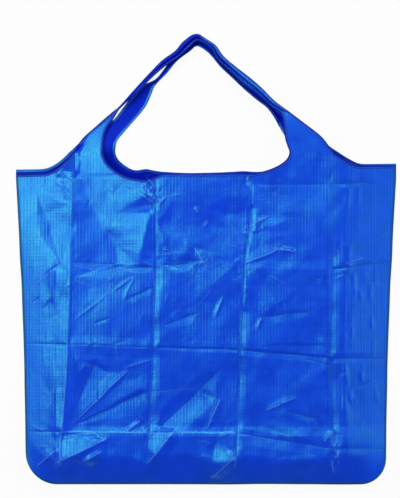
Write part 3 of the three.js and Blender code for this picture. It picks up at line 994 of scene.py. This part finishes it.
def lay_cloth(panel):
    """Body and handle of a panel as one sheet."""
    columns = body_columns(panel)
    plan = body_places(panel, columns)
    height = panel.height(plan[..., 0], plan[..., 1])
    body = np.dstack([plan, height])
    at = [int(np.argmin(np.abs(columns - column))) for column in strap_columns(panel)]
    left = np.arange(at[0], at[1] + 1)
    right = np.arange(at[2], at[3] + 1)[::-1]
    last = body[-1] - body[-2]
    slope = np.clip(last[:, 2] / last[:, 1], -STEEPEST_BASE, STEEPEST_BASE)
    strap, strap_flat, gathered = strap_points(
        panel, body[-1, left], body[-1, right], slope[left], slope[right])
    body_index = np.arange(body[..., 0].size).reshape(body.shape[:2])
    strap_index = body_index.size + np.arange(strap[..., 0].size).reshape(strap.shape[:2])
    rows = np.concatenate([body_index[-1:, left], strap_index, body_index[-1:, right]])
    faces = np.concatenate([grid_faces(body_index), grid_faces(rows)])
    coarse_faces = np.concatenate([grid_faces(body_index[::2, ::2]), grid_faces(rows[::2, ::2])])
    points = np.concatenate([body.reshape(-1, 3), strap.reshape(-1, 3)])
    flat = np.concatenate([plan.reshape(-1, 2), strap_flat.reshape(-1, 2)])
    flat = np.concatenate([flat, np.zeros((len(flat), 1))], axis=1)
    x, y = plan[..., 0].ravel(), plan[..., 1].ravel()
    away, pressed = pressed_lines(x, y)
    marks = {
        "cloth_place": flat,
        # painted shade along the side and bottom seams and over the gathered straps
        "dark_line": np.concatenate([seam_shade(x, y), GATHERED_SHADE * gathered.ravel()]),
        "line_away": np.concatenate([away, np.full(strap_index.size, LINE_REACH)]),
        "line_press": np.concatenate([pressed, np.zeros(strap_index.size)]),
    }
    handle = np.concatenate([body[-1:, left], strap, body[-1:, right]])
    return Cloth(panel, at, body, handle, points, faces, coarse_faces, marks)


def cloth_piece(cloth, above, below):
    """A panel with one finish above and at its edges, and another below."""
    points, faces, kept = thicken(cloth.points, cloth.faces, cloth.coarse_faces, CLOTH / 2)
    finish = np.zeros(len(faces))
    finish[len(cloth.faces):len(cloth.faces) + len(cloth.coarse_faces)] = 1
    # faces of the gathered left straps take the darker inside finish, as painted shade
    gathered = cloth.marks["dark_line"][cloth.faces].min(axis=1) > ROLLED_SHARE * GATHERED_SHADE
    rolled = gathered & (cloth.faces.min(axis=1) >= cloth.body[..., 0].size)
    rolled &= cloth.points[cloth.faces[:, 0], 0] < ROLLED_END
    finish[:len(cloth.faces)][rolled] = ROLLED_FINISH[cloth.panel.name]
    marks = {mark: np.concatenate([values, values[kept]]) for mark, values in cloth.marks.items()}
    name = f"{cloth.panel.name}_cloth"
    return make_piece(name, points, faces, (above, below), "ripstop", finish, **marks)


# Binding tape. A strip is a run of places across the tape, from the cloth's edge in, along an edge.

Strip = namedtuple("Strip", "points normals")


def body_strip(panel, edge):
    """Strip along an edge of the body, in plan, with the cloth on the right of the way along it."""
    along = unit(np.gradient(edge, axis=0))
    inwards = np.stack([along[:, 1], -along[:, 0]], axis=1)
    plan = edge[:, None] + inwards[:, None] * np.array(TAPE_REACH)[:, None]
    x, y = plan[..., 0], plan[..., 1]
    nudge = 0.8
    slope_x = (panel.height(x + nudge, y) - panel.height(x - nudge, y)) / (2 * nudge)
    slope_y = (panel.height(x, y + nudge) - panel.height(x, y - nudge)) / (2 * nudge)
    normals = unit(np.dstack([-slope_x, -slope_y, np.ones_like(x)]))
    return Strip(np.dstack([plan, panel.height(x, y)]), normals)


def strap_strip(handle, inner):
    """Strip along a strap's outer or inner edge, from the left base over the top to the right base."""
    normals = unit(np.cross(np.gradient(handle, axis=1), np.gradient(handle, axis=0)))
    if inner:
        handle, normals = handle[:, ::-1], normals[:, ::-1]
    points, faced = [], []
    for row, row_normals in zip(handle, normals):
        reach = run_along(row)
        points.append(read_along(TAPE_REACH, reach, row))
        faced.append(read_along(TAPE_REACH, reach, row_normals))
    return Strip(np.array(points), unit(np.array(faced)))


def join_strips(*strips):
    return Strip(np.concatenate([s.points for s in strips]), np.concatenate([s.normals for s in strips]))


def cut_strip(strip, keep):
    return Strip(strip.points[keep], strip.normals[keep])


def soften(strip, closed):
    """Evens out the kink where a body strip meets a strap strip."""
    pad = 2
    mode = "wrap" if closed else "edge"
    weights = (0.1, 0.2, 0.4, 0.2, 0.1)

    def even(values):
        wide = np.pad(values, ((pad, pad), (0, 0), (0, 0)), mode=mode)
        return sum(w * wide[k:k + len(values)] for k, w in enumerate(weights))

    return Strip(even(strip.points), unit(even(strip.normals)))


def tape_strips(cloth):
    """The mouth ring and the two shoulder runs of a panel."""
    panel, handle = cloth.panel, cloth.strap
    left_outer, left_inner, right_inner, right_outer = cloth.columns
    top = cloth.body[-1, :, :2]
    outer, inner = strap_strip(handle, False), strap_strip(handle, True)
    highest = int(np.argmax(handle[:, 0, 1]))
    mouth = body_strip(panel, top[left_inner:right_inner + 1])
    left = body_strip(panel, top[:left_outer + 1])
    right = body_strip(panel, top[right_outer:])
    rising = slice(1, highest)
    falling = slice(highest, -1)
    all_back = slice(-2, 0, -1)
    return {
        f"{panel.name}_mouth": join_strips(mouth, cut_strip(inner, all_back)),
        f"{panel.name}_left_shoulder": join_strips(left, cut_strip(outer, rising)),
        f"{panel.name}_right_shoulder": join_strips(cut_strip(outer, falling), right),
    }


def tape_piece(name, strip, material):
    """Tape folded over the cloth's edge: upper ply, round edge and lower ply, swept along the strip."""
    closed = name.endswith("mouth")
    strip = soften(strip, closed)
    along = run_along(strip.points[:, 0])
    pucker = 1 + TAPE_PUCKER * drift(along, along * 0, TAPE_PUCKER_CELL, seed=61)[:, None, None]
    lift = strip.normals * (CLOTH / 2 + TAPE_PLY * pucker)
    outwards = unit(strip.points[:, 0] - strip.points[:, 1])
    edge = (strip.points[:, 0] + outwards * 2 * TAPE_PLY)[:, None]
    ring = np.concatenate([(strip.points + lift)[:, ::-1], edge, strip.points - lift], axis=1)
    count, around = ring.shape[:2]
    index = np.arange(count * around).reshape(count, around)
    index = np.concatenate([index, index[:, :1]], axis=1)
    if closed:
        index = np.concatenate([index, index[:1]])
    faces = grid_faces(index).tolist()
    if not closed:
        faces.append(index[0, :-1].tolist())
        faces.append(index[-1, -2::-1].tolist())
    across = np.concatenate([TAPE_REACH[::-1], [0], TAPE_REACH])
    flat = np.stack(np.broadcast_arrays(across, along[:, None], 0.0), axis=-1).reshape(-1, 3)
    # painted shade along the tape's edges and its folded rim
    dark = np.tile(np.concatenate([TAPE_SHADE[::-1], [1], TAPE_SHADE]), count)
    return make_piece(f"{name}_binding", ring.reshape(-1, 3), faces, [material], "binding",
                      cloth_place=flat, dark_line=dark)


# Stitches

def stitch_shape():
    """One stitch along X, as a round-ended rod."""
    sides = 6
    rings = [(-0.5, 0.0), (-0.36, 0.8), (0.0, 1.0), (0.36, 0.8), (0.5, 0.0)]
    points = []
    for along, wide in rings[1:-1]:
        for k in range(sides):
            angle = 2 * math.pi * k / sides
            points.append((along * STITCH_LENGTH, wide * STITCH_RADIUS * math.cos(angle),
                           wide * STITCH_RADIUS * math.sin(angle)))
    tips = [(rings[0][0] * STITCH_LENGTH, 0, 0), (rings[-1][0] * STITCH_LENGTH, 0, 0)]
    faces = []
    last = sides * (len(rings) - 3)
    for k in range(sides):
        after = (k + 1) % sides
        for ring in range(len(rings) - 3):
            low, high = ring * sides, (ring + 1) * sides
            faces.append((low + k, high + k, high + after, low + after))
        faces.append((last + sides, k, after))
        faces.append((last + sides + 1, last + after, last + k))
    return np.array(points + tips), faces


def stitch_row(strip, closed):
    """Places and directions of the stitches along a tape."""
    strip = soften(strip, closed)
    seat = strip.points[:, STITCH_PLACE] + strip.normals[:, STITCH_PLACE] * (CLOTH / 2 + TAPE_PLY)
    reach = run_along(seat)
    places = np.arange(STITCH_PITCH, reach[-1] - STITCH_PITCH, STITCH_PITCH)
    nudge = 0.8
    centre = read_along(places, reach, seat)
    along = unit(read_along(places + nudge, reach, seat) - centre)
    up = read_along(places, reach, strip.normals[:, STITCH_PLACE])
    side = unit(np.cross(up, along))
    return centre, np.stack([along, side, np.cross(along, side)], axis=1)


def stitch_piece(name, strips, material):
    shape, shape_faces = stitch_shape()
    points, faces = [], []
    for tape, strip in strips.items():
        for centre, axes in zip(*stitch_row(strip, tape.endswith("mouth"))):
            first = len(points) * len(shape)
            points.append(centre + shape @ axes)
            faces.extend(tuple(first + k for k in face) for face in shape_faces)
    points = np.concatenate(points)
    return make_piece(name, points, faces, [material], "binding", cloth_place=points)


# Materials

def set_inputs(tree, node, inputs):
    """Links each input to a socket, or gives it a value."""
    for key, value in inputs.items():
        if isinstance(value, bpy.types.NodeSocket):
            tree.links.new(value, node.inputs[key])
        else:
            node.inputs[key].default_value = value


def add_node(tree, kind, inputs=None, **settings):
    node = tree.nodes.new(kind)
    for name, value in settings.items():
        setattr(node, name, value)
    set_inputs(tree, node, inputs or {})
    return node


def maths(tree, operation, *values, clamp=False):
    node = add_node(tree, "ShaderNodeMath", dict(enumerate(values)), operation=operation, use_clamp=clamp)
    return node.outputs[0]


def effect_group(name, inputs, outputs):
    """A node group with these number inputs, at their usual values, and these number outputs."""
    group = bpy.data.node_groups.new(name, "ShaderNodeTree")
    for socket, usual in inputs.items():
        made = group.interface.new_socket(socket, in_out="INPUT", socket_type="NodeSocketFloat")
        made.default_value = usual
    for socket in outputs:
        group.interface.new_socket(socket, in_out="OUTPUT", socket_type="NodeSocketFloat")
    return group


def ripstop_weave_group():
    """Thick threads on a square grid, fine threads between them, and slow changes of tone."""
    usual = {"Square": 4.7, "Rib": 0.18, "Rib Height": 0.1, "Thread": 0.6}
    group = effect_group("ripstop_weave", usual, ("Ribs", "Tone", "Height"))
    group.interface.new_socket("Place", in_out="INPUT", socket_type="NodeSocketVector")
    given = group.nodes.new("NodeGroupInput").outputs
    place = add_node(group, "ShaderNodeSeparateXYZ", {0: given["Place"]}).outputs
    ribs, threads = [], []
    for axis in (0, 1):
        share = maths(group, "FRACT", maths(group, "DIVIDE", place[axis], given["Square"]))
        from_middle = maths(group, "ABSOLUTE", maths(group, "SUBTRACT", share, 0.5))
        band = maths(group, "DIVIDE", maths(group, "SUBTRACT", 0.5, from_middle), given["Rib"])
        ribs.append(maths(group, "SUBTRACT", 1.0, band, clamp=True))
        turn = maths(group, "DIVIDE", maths(group, "MULTIPLY", place[axis], 2 * math.pi), given["Thread"])
        threads.append(maths(group, "SINE", turn))
    rib = maths(group, "MAXIMUM", ribs[0], maths(group, "MULTIPLY", ribs[1], CROSS_RIBS))
    fine = maths(group, "MULTIPLY", maths(group, "MULTIPLY", *threads), FINE_THREADS)
    noise = add_node(group, "ShaderNodeTexNoise", {"Vector": given["Place"], "Scale": 0.035, "Detail": 4.0})
    add_node(group, "NodeGroupOutput", {
        "Ribs": rib,
        "Tone": noise.outputs[0],
        "Height": maths(group, "ADD", maths(group, "MULTIPLY", rib, given["Rib Height"]), fine),
    })
    return group


def pressed_line_group():
    """A thin ridge or groove where the cloth has been folded, and where its line shows. Its ridge share
    carries a painted highlight and its valley share painted shade.
    """
    usual = {"Away": LINE_REACH, "Press": 0.0, "Width": 1.3, "Rise": 0.15}
    group = effect_group("pressed_line", usual, ("Ridge", "Valley", "Height"))
    given = group.nodes.new("NodeGroupInput").outputs
    off = maths(group, "DIVIDE", maths(group, "ABSOLUTE", given["Away"]), given["Width"])
    near = maths(group, "SUBTRACT", 1.0, off, clamp=True)
    pressed = maths(group, "MULTIPLY", near, given["Press"])
    add_node(group, "NodeGroupOutput", {
        "Ridge": maths(group, "MAXIMUM", pressed, 0.0),
        "Valley": maths(group, "MAXIMUM", maths(group, "MULTIPLY", pressed, -1.0), 0.0),
        "Height": maths(group, "MULTIPLY", pressed, given["Rise"]),
    })
    return group


# valley is the colour of painted shade in creases, ridge of a painted highlight along ridges, edge of
# painted shade
Colours = namedtuple("Colours", "ground thread valley ridge edge")


def opaque(colour):
    return (*colour, 1)


def lay_over(tree, share, under, over, blend_type="MIX"):
    """One colour over another, by a share."""
    inputs = {"Factor": share, "A": under, "B": over}
    mix = add_node(tree, "ShaderNodeMix", inputs, data_type="RGBA", blend_type=blend_type)
    return mix.outputs["Result"]


def by_tone(tree, tone, low, high):
    """A value that goes from low to high with the cloth's tone."""
    dark, light = TONE_RANGE
    inputs = {"Value": tone, "From Min": dark, "From Max": light, "To Min": low, "To Max": high}
    return add_node(tree, "ShaderNodeMapRange", inputs).outputs[0]


def woven_material(name, weave, pressed, colours, square, rib_height, roughness, tint, ior, edge_shade):
    """Glossy woven nylon, with colours of its ground and its thick threads, painted shade in its pressed
    valleys, a painted highlight on its pressed ridges, and painted shade along its seams and tape edges."""
    material = bpy.data.materials.new(name)
    material.use_nodes = True
    tree = material.node_tree
    marks = {
        mark: add_node(tree, "ShaderNodeAttribute", attribute_name=mark).outputs
        for mark in ("cloth_place", "dark_line", "line_away", "line_press")}
    nearest = {"Away": marks["line_away"]["Fac"], "Press": marks["line_press"]["Fac"]}
    line = add_node(tree, "ShaderNodeGroup", nearest, node_tree=pressed).outputs
    grid = {"Place": marks["cloth_place"]["Vector"], "Square": square, "Rib Height": rib_height}
    cloth = add_node(tree, "ShaderNodeGroup", grid, node_tree=weave).outputs
    # Painted shade along the side and bottom seams, the tape's edges and the gathered straps
    edge_shade_share = maths(tree, "MULTIPLY", marks["dark_line"]["Fac"], edge_shade)
    # painted shade in the valleys of pressed lines
    valley_shade = maths(tree, "MULTIPLY", line["Valley"], PAINTED_VALLEY_SHADE)
    # painted highlight along the ridges of pressed lines
    ridge_highlight = maths(tree, "MULTIPLY", line["Ridge"], PAINTED_RIDGE_HIGHLIGHT)
    threads = maths(tree, "MULTIPLY", cloth["Ribs"], cloth["Tone"])
    shown = lay_over(tree, threads, opaque(colours.ground), opaque(colours.thread))
    shown = lay_over(tree, 1.0, shown, by_tone(tree, cloth["Tone"], *TONE_SHADES), "MULTIPLY")
    for share, colour in ((valley_shade, colours.valley), (ridge_highlight, colours.ridge), (edge_shade_share, colours.edge)):
        shown = lay_over(tree, share, shown, opaque(colour))
    gloss = by_tone(tree, cloth["Tone"], roughness - GLOSS_SPREAD, roughness + GLOSS_SPREAD)
    dulled = maths(tree, "MULTIPLY", maths(tree, "MAXIMUM", edge_shade_share, valley_shade), DULLING)
    relief = maths(tree, "ADD", cloth["Height"], line["Height"])
    raised = add_node(tree, "ShaderNodeBump", {"Height": relief, "Distance": 1 / METRE, "Strength": 1.0})
    set_inputs(tree, tree.nodes["Principled BSDF"], {
        "Base Color": shown,
        "Roughness": maths(tree, "ADD", gloss, dulled),
        "Normal": raised.outputs["Normal"],
        "IOR": ior,
        "Specular Tint": opaque(tint),
    })
    return material


# Stage

def place_camera():
    data = bpy.data.cameras.new("camera")
    data.sensor_width = 36.0
    height = 5.0
    face = SEAM_LIFT / METRE
    seen = max(PHOTO_SIZE) * PHOTO_SCALE / METRE
    data.lens = data.sensor_width * (height - face) / seen
    camera = bpy.data.objects.new("camera", data)
    x, y = PHOTO_CENTRE
    camera.location = (x / METRE, (y - FULL_HEIGHT / 2) / METRE, height)
    bpy.context.scene.collection.objects.link(camera)
    bpy.context.scene.camera = camera


def seen_directly(tree):
    """One for rays that show the backdrop itself, straight or in a gloss, and zero for its light."""
    path = add_node(tree, "ShaderNodeLightPath").outputs
    straight = maths(tree, "MAXIMUM", path["Is Camera Ray"], path["Is Glossy Ray"])
    return maths(tree, "MAXIMUM", straight, path["Is Transmission Ray"])


def lay_floor():
    reach = 12.0
    mesh = bpy.data.meshes.new("floor")
    corners = [(-reach, -reach, 0), (reach, -reach, 0), (reach, reach, 0), (-reach, reach, 0)]
    mesh.from_pydata(corners, [], [(0, 1, 2, 3)])
    material = bpy.data.materials.new("pale_floor")
    material.use_nodes = True
    tree = material.node_tree
    tree.nodes.clear()
    matt = add_node(tree, "ShaderNodeBsdfDiffuse", {"Color": (0.86, 0.87, 0.88, 1)})
    white = add_node(tree, "ShaderNodeEmission", {"Color": (1, 1, 1, 1), "Strength": 1.0})
    white_share = 0.94  # the rest keeps the shadow
    share = maths(tree, "MULTIPLY", seen_directly(tree), white_share)
    mixed = add_node(tree, "ShaderNodeMixShader", {0: share, 1: matt.outputs[0], 2: white.outputs[0]})
    out = tree.nodes.new("ShaderNodeOutputMaterial")
    tree.links.new(mixed.outputs[0], out.inputs["Surface"])
    mesh.materials.append(material)
    floor = bpy.data.objects.new("floor", mesh)
    bpy.context.scene.collection.objects.link(floor)


def light_world(strength):
    """A plain dim room."""
    world = bpy.data.worlds.new("studio")
    world.use_nodes = True
    ground = world.node_tree.nodes["Background"].inputs
    ground["Color"].default_value = (1, 1, 1, 1)
    ground["Strength"].default_value = strength
    bpy.context.scene.world = world


def soft_lamp(name, towards, distance, size, watts):
    """A soft lamp, this wide and this tall, in the given direction from the middle of the bag."""
    data = bpy.data.lights.new(name, "AREA")
    data.shape = "RECTANGLE"
    data.size, data.size_y = size
    data.energy = watts
    lamp = bpy.data.objects.new(name, data)
    direction = Vector(towards).normalized()
    lamp.location = direction * distance
    lamp.rotation_mode = "QUATERNION"
    lamp.rotation_quaternion = direction.to_track_quat("Z", "Y")
    lamp.visible_camera = False
    bpy.context.scene.collection.objects.link(lamp)


# The bag

place_camera()
lay_floor()
light_world(strength=0.21)
soft_lamp("key_lamp", towards=(-0.525, 0.2, 0.83), distance=3.1, size=(1.2, 1.4), watts=34)
soft_lamp("top_lamp", towards=(0.1, 0.63, 0.77), distance=3.0, size=(1.6, 0.5), watts=30)
soft_lamp("right_lamp", towards=(0.92, 0.1, 0.38), distance=3.0, size=(2.0, 2.0), watts=16)

weave = ripstop_weave_group()
pressed = pressed_line_group()
# In each cloth's colours, valley is painted shade, ridge a painted highlight and edge painted shade.
ripstop = woven_material(
    "blue_ripstop", weave, pressed,
    Colours(
        ground=(0.001, 0.014, 0.93), thread=(0.003, 0.030, 1.00),
        valley=(0.001, 0.002, 0.40), ridge=(0.12, 0.34, 1.00), edge=(0.001, 0.002, 0.24)),
    square=4.7, rib_height=0.11, roughness=0.36, tint=(0.11, 1.0, 0.62), ior=2.2, edge_shade=0.95)
# A rougher copy of the cloth for its inside faces, its colours darkened as painted shade
shaded_inside = woven_material(
    "blue_ripstop_shaded_inside", weave, pressed,
    Colours(
        ground=(0.002, 0.012, 0.64), thread=(0.003, 0.018, 0.70),
        valley=(0.002, 0.010, 0.50), ridge=(0.04, 0.08, 0.80), edge=(0.002, 0.008, 0.36)),
    square=4.7, rib_height=0.05, roughness=0.55, tint=(0.2, 0.8, 1.0), ior=1.3, edge_shade=0.5)
binding = woven_material(
    "blue_binding", weave, pressed,
    Colours(
        ground=(0.004, 0.038, 0.76), thread=(0.008, 0.060, 0.86),
        valley=(0.001, 0.004, 0.26), ridge=(0.08, 0.18, 0.95), edge=(0.001, 0.004, 0.26)),
    square=1.6, rib_height=0.05, roughness=0.5, tint=(0.3, 0.8, 1.0), ior=1.45, edge_shade=0.95)
hem = woven_material(
    "blue_binding_inside", weave, pressed,
    Colours(
        ground=(0.004, 0.038, 0.76), thread=(0.008, 0.060, 0.86),
        valley=(0.001, 0.004, 0.30), ridge=(0.08, 0.18, 0.95), edge=(0.001, 0.004, 0.30)),
    square=1.6, rib_height=0.05, roughness=0.42, tint=(0.11, 1.0, 0.62), ior=2.2, edge_shade=0.25)
thread = woven_material(
    "blue_thread", weave, pressed,
    Colours(
        ground=(0.14, 0.28, 0.92), thread=(0.18, 0.32, 0.95),
        valley=(0.08, 0.18, 0.80), ridge=(0.22, 0.38, 0.95), edge=(0.08, 0.18, 0.80)),
    square=0.5, rib_height=0.03, roughness=0.5, tint=(0.4, 0.7, 1.0), ior=1.45, edge_shade=0.0)

tapes = {}
# the inside faces take the darker copy of the cloth, as painted shade
for panel, above, below, bound in ((FRONT, ripstop, shaded_inside, binding), (BACK, shaded_inside, ripstop, hem)):
    cloth = lay_cloth(panel)
    side = panel.name
    cloth_piece(cloth, above, below)
    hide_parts(f"{side}_panel", f"{side}_left_strap", f"{side}_right_strap")
    strips = tape_strips(cloth)
    tapes[side] = []
    for name, strip in strips.items():
        tape = tape_piece(name, strip, bound)
        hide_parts(f"{name}_tape")
        tapes[side].append(tape)
    stitch_piece(f"{side}_stitching", strips, thread)

bpy.context.scene.view_settings.view_transform = "Standard"
